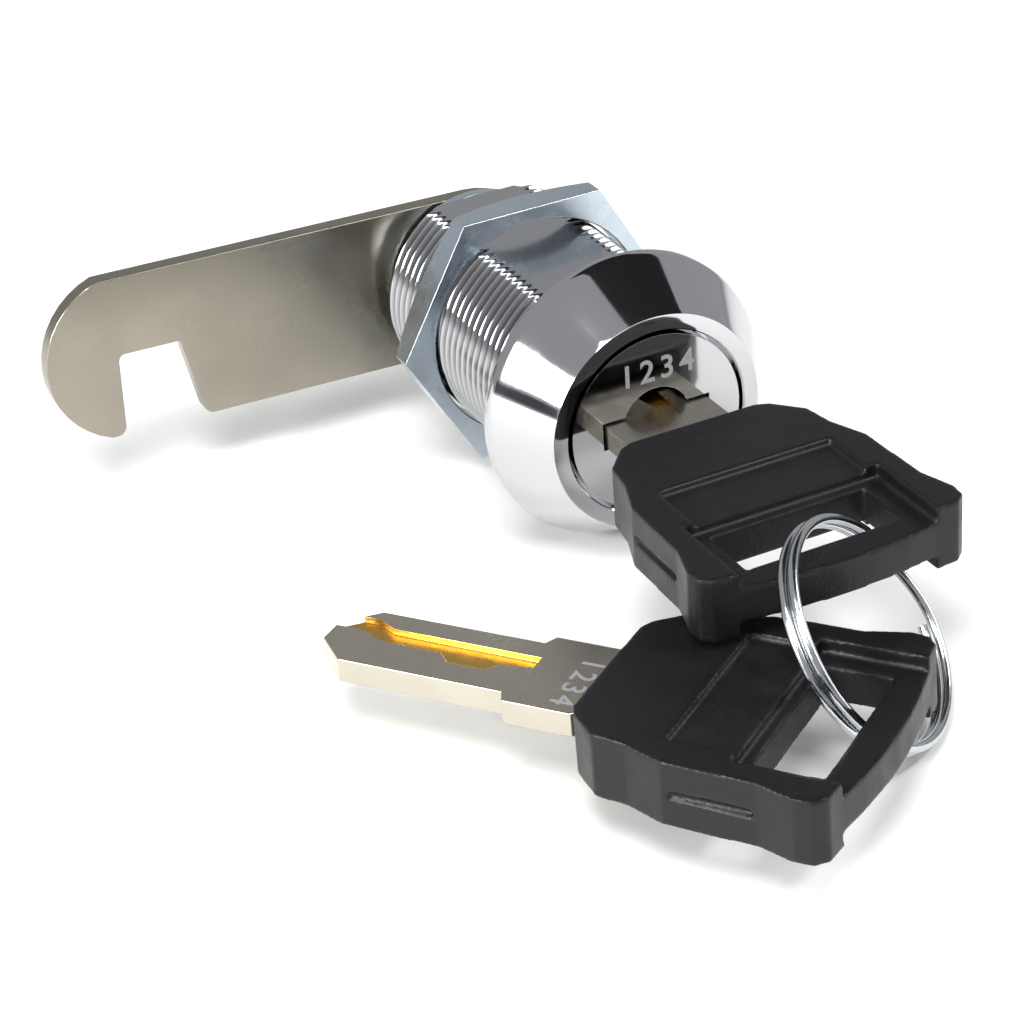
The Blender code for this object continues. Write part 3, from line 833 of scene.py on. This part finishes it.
class CAMLOCK_OT_stage(bpy.types.Operator):
    """Lay the pale floor, set the soft lights and place the camera"""
    bl_idname = "camlock.stage"
    bl_label = "Stage"

    def aim(self, thing, place):
        """Stand the object at the place, in millimetres, turned to the lock."""
        spot = Vector(place) * MM
        toward = Vector(AIM) * MM - spot
        thing.matrix_world = Matrix.Translation(spot) @ toward.to_track_quat("-Z", "Y").to_matrix().to_4x4()

    def softbox(self, name, place, size, power):
        """A rectangular light."""
        light = bpy.data.lights.new(name, "AREA")
        light.shape = "RECTANGLE"
        light.size, light.size_y = size[0] * MM, size[1] * MM
        light.energy = power
        self.aim(new_object(name, light), place)

    def card(self, name, place, size, shade):
        """A flag out of view that the mirror surfaces reflect."""
        made = bpy.data.materials.new(name)
        made.use_nodes = True
        shader = made.node_tree.nodes["Principled BSDF"]
        shader.inputs["Base Color"].default_value = from_hex(shade)
        shader.inputs["Roughness"].default_value = 1.0
        thing = self.sheet(name, size[0] / 2 * MM, size[1] / 2 * MM, 0, made)
        self.aim(thing, place)
        thing.visible_camera = False
        thing.visible_shadow = False
        thing.visible_diffuse = False

    def sheet(self, name, x, y, level, material):
        """A flat rectangle of those half sizes, facing up."""
        mesh = bpy.data.meshes.new(name)
        mesh.from_pydata([(-x, -y, level), (x, -y, level), (x, y, level), (-x, y, level)], [], [(0, 1, 2, 3)])
        mesh.materials.append(material)
        return new_object(name, mesh)

    def room(self, strength):
        """Even light from all round."""
        world = bpy.data.worlds.new("soft_studio")
        bpy.context.scene.world = world
        world.use_nodes = True
        back = world.node_tree.nodes["Background"]
        back.inputs["Color"].default_value = from_hex(ROOM_COLOUR)
        back.inputs["Strength"].default_value = strength

    def camera(self):
        """The camera, placed by its three directions."""
        data = bpy.data.cameras.new("camera")
        data.lens, data.sensor_width, data.clip_start = LENS, SENSOR, CLIP_START * MM
        thing = new_object("camera", data)
        turn = Matrix((CAMERA_RIGHT, CAMERA_UP, -Vector(CAMERA_FORWARD))).transposed().to_4x4()
        thing.matrix_world = Matrix.Translation(Vector(CAMERA_AT) * MM) @ turn
        bpy.context.scene.camera = thing

    def execute(self, context):
        settings = context.scene.cam_lock_stage
        level = CAD_BOX[0][2] - settings.floor_drop
        half = FLOOR_HALF * MM
        self.sheet("studio_floor", half, half, level, finish_of("paper"))
        self.softbox("left_softbox", *LEFT_SOFTBOX, settings.key_power)
        for light in OTHER_LIGHTS:
            self.softbox(*light)
        for card in CARDS:
            self.card(*card)
        context.scene.view_settings.view_transform = "Standard"
        self.room(settings.room)
        self.camera()
        return {"FINISHED"}


class CAMLOCK_PT_panel(bpy.types.Panel):
    """Lists the pieces and their settings"""
    bl_label = "Cam Lock"
    bl_idname = "CAMLOCK_PT_panel"
    bl_space_type = "VIEW_3D"
    bl_region_type = "UI"
    bl_category = "Cam Lock"

    def draw(self, context):
        layout = self.layout
        scene = context.scene
        for group, names in ((scene.cam_lock_barrel, ("pitch", "depth", "columns")),
                             (scene.cam_lock_keys, ("voxel", "relaxing", "code", "digit_height")),
                             (scene.cam_lock_looks, ("chrome", "zinc", "nickel", "key_blade", "brass", "wire",
                                                     "plastic", "digits", "floor")),
                             (scene.cam_lock_stage, ("key_power", "room", "floor_drop"))):
            for name in names:
                layout.prop(group, name)
        for piece in PIECES:
            layout.operator(piece.bl_idname)


PIECES = (CAMLOCK_OT_barrel, CAMLOCK_OT_plug, CAMLOCK_OT_wafers, CAMLOCK_OT_fittings, CAMLOCK_OT_keys,
          CAMLOCK_OT_ring, CAMLOCK_OT_marks, CAMLOCK_OT_stage)
SETTINGS = (("cam_lock_barrel", CamLockBarrelSettings), ("cam_lock_keys", CamLockKeySettings),
            ("cam_lock_looks", CamLockLooksSettings), ("cam_lock_stage", CamLockStageSettings))


def register():
    for name, group in SETTINGS:
        bpy.utils.register_class(group)
        setattr(bpy.types.Scene, name, bpy.props.PointerProperty(type=group))
    for piece in PIECES:
        bpy.utils.register_class(piece)
    bpy.utils.register_class(CAMLOCK_PT_panel)


def unregister():
    bpy.utils.unregister_class(CAMLOCK_PT_panel)
    for piece in reversed(PIECES):
        bpy.utils.unregister_class(piece)
    for name, group in reversed(SETTINGS):
        delattr(bpy.types.Scene, name)
        bpy.utils.unregister_class(group)


def main():
    register()
    for thing in [o for o in bpy.context.scene.objects if o.type in {"LIGHT", "CAMERA"} or o.name == "Cube"]:
        bpy.data.objects.remove(thing, do_unlink=True)
    bpy.ops.camlock.barrel()
    bpy.ops.camlock.plug()
    bpy.ops.camlock.wafers()
    bpy.ops.camlock.fittings()
    bpy.ops.camlock.keys()
    bpy.ops.camlock.ring()
    bpy.ops.camlock.marks()
    bpy.ops.camlock.stage()


if __name__ == "__main__":
    main()
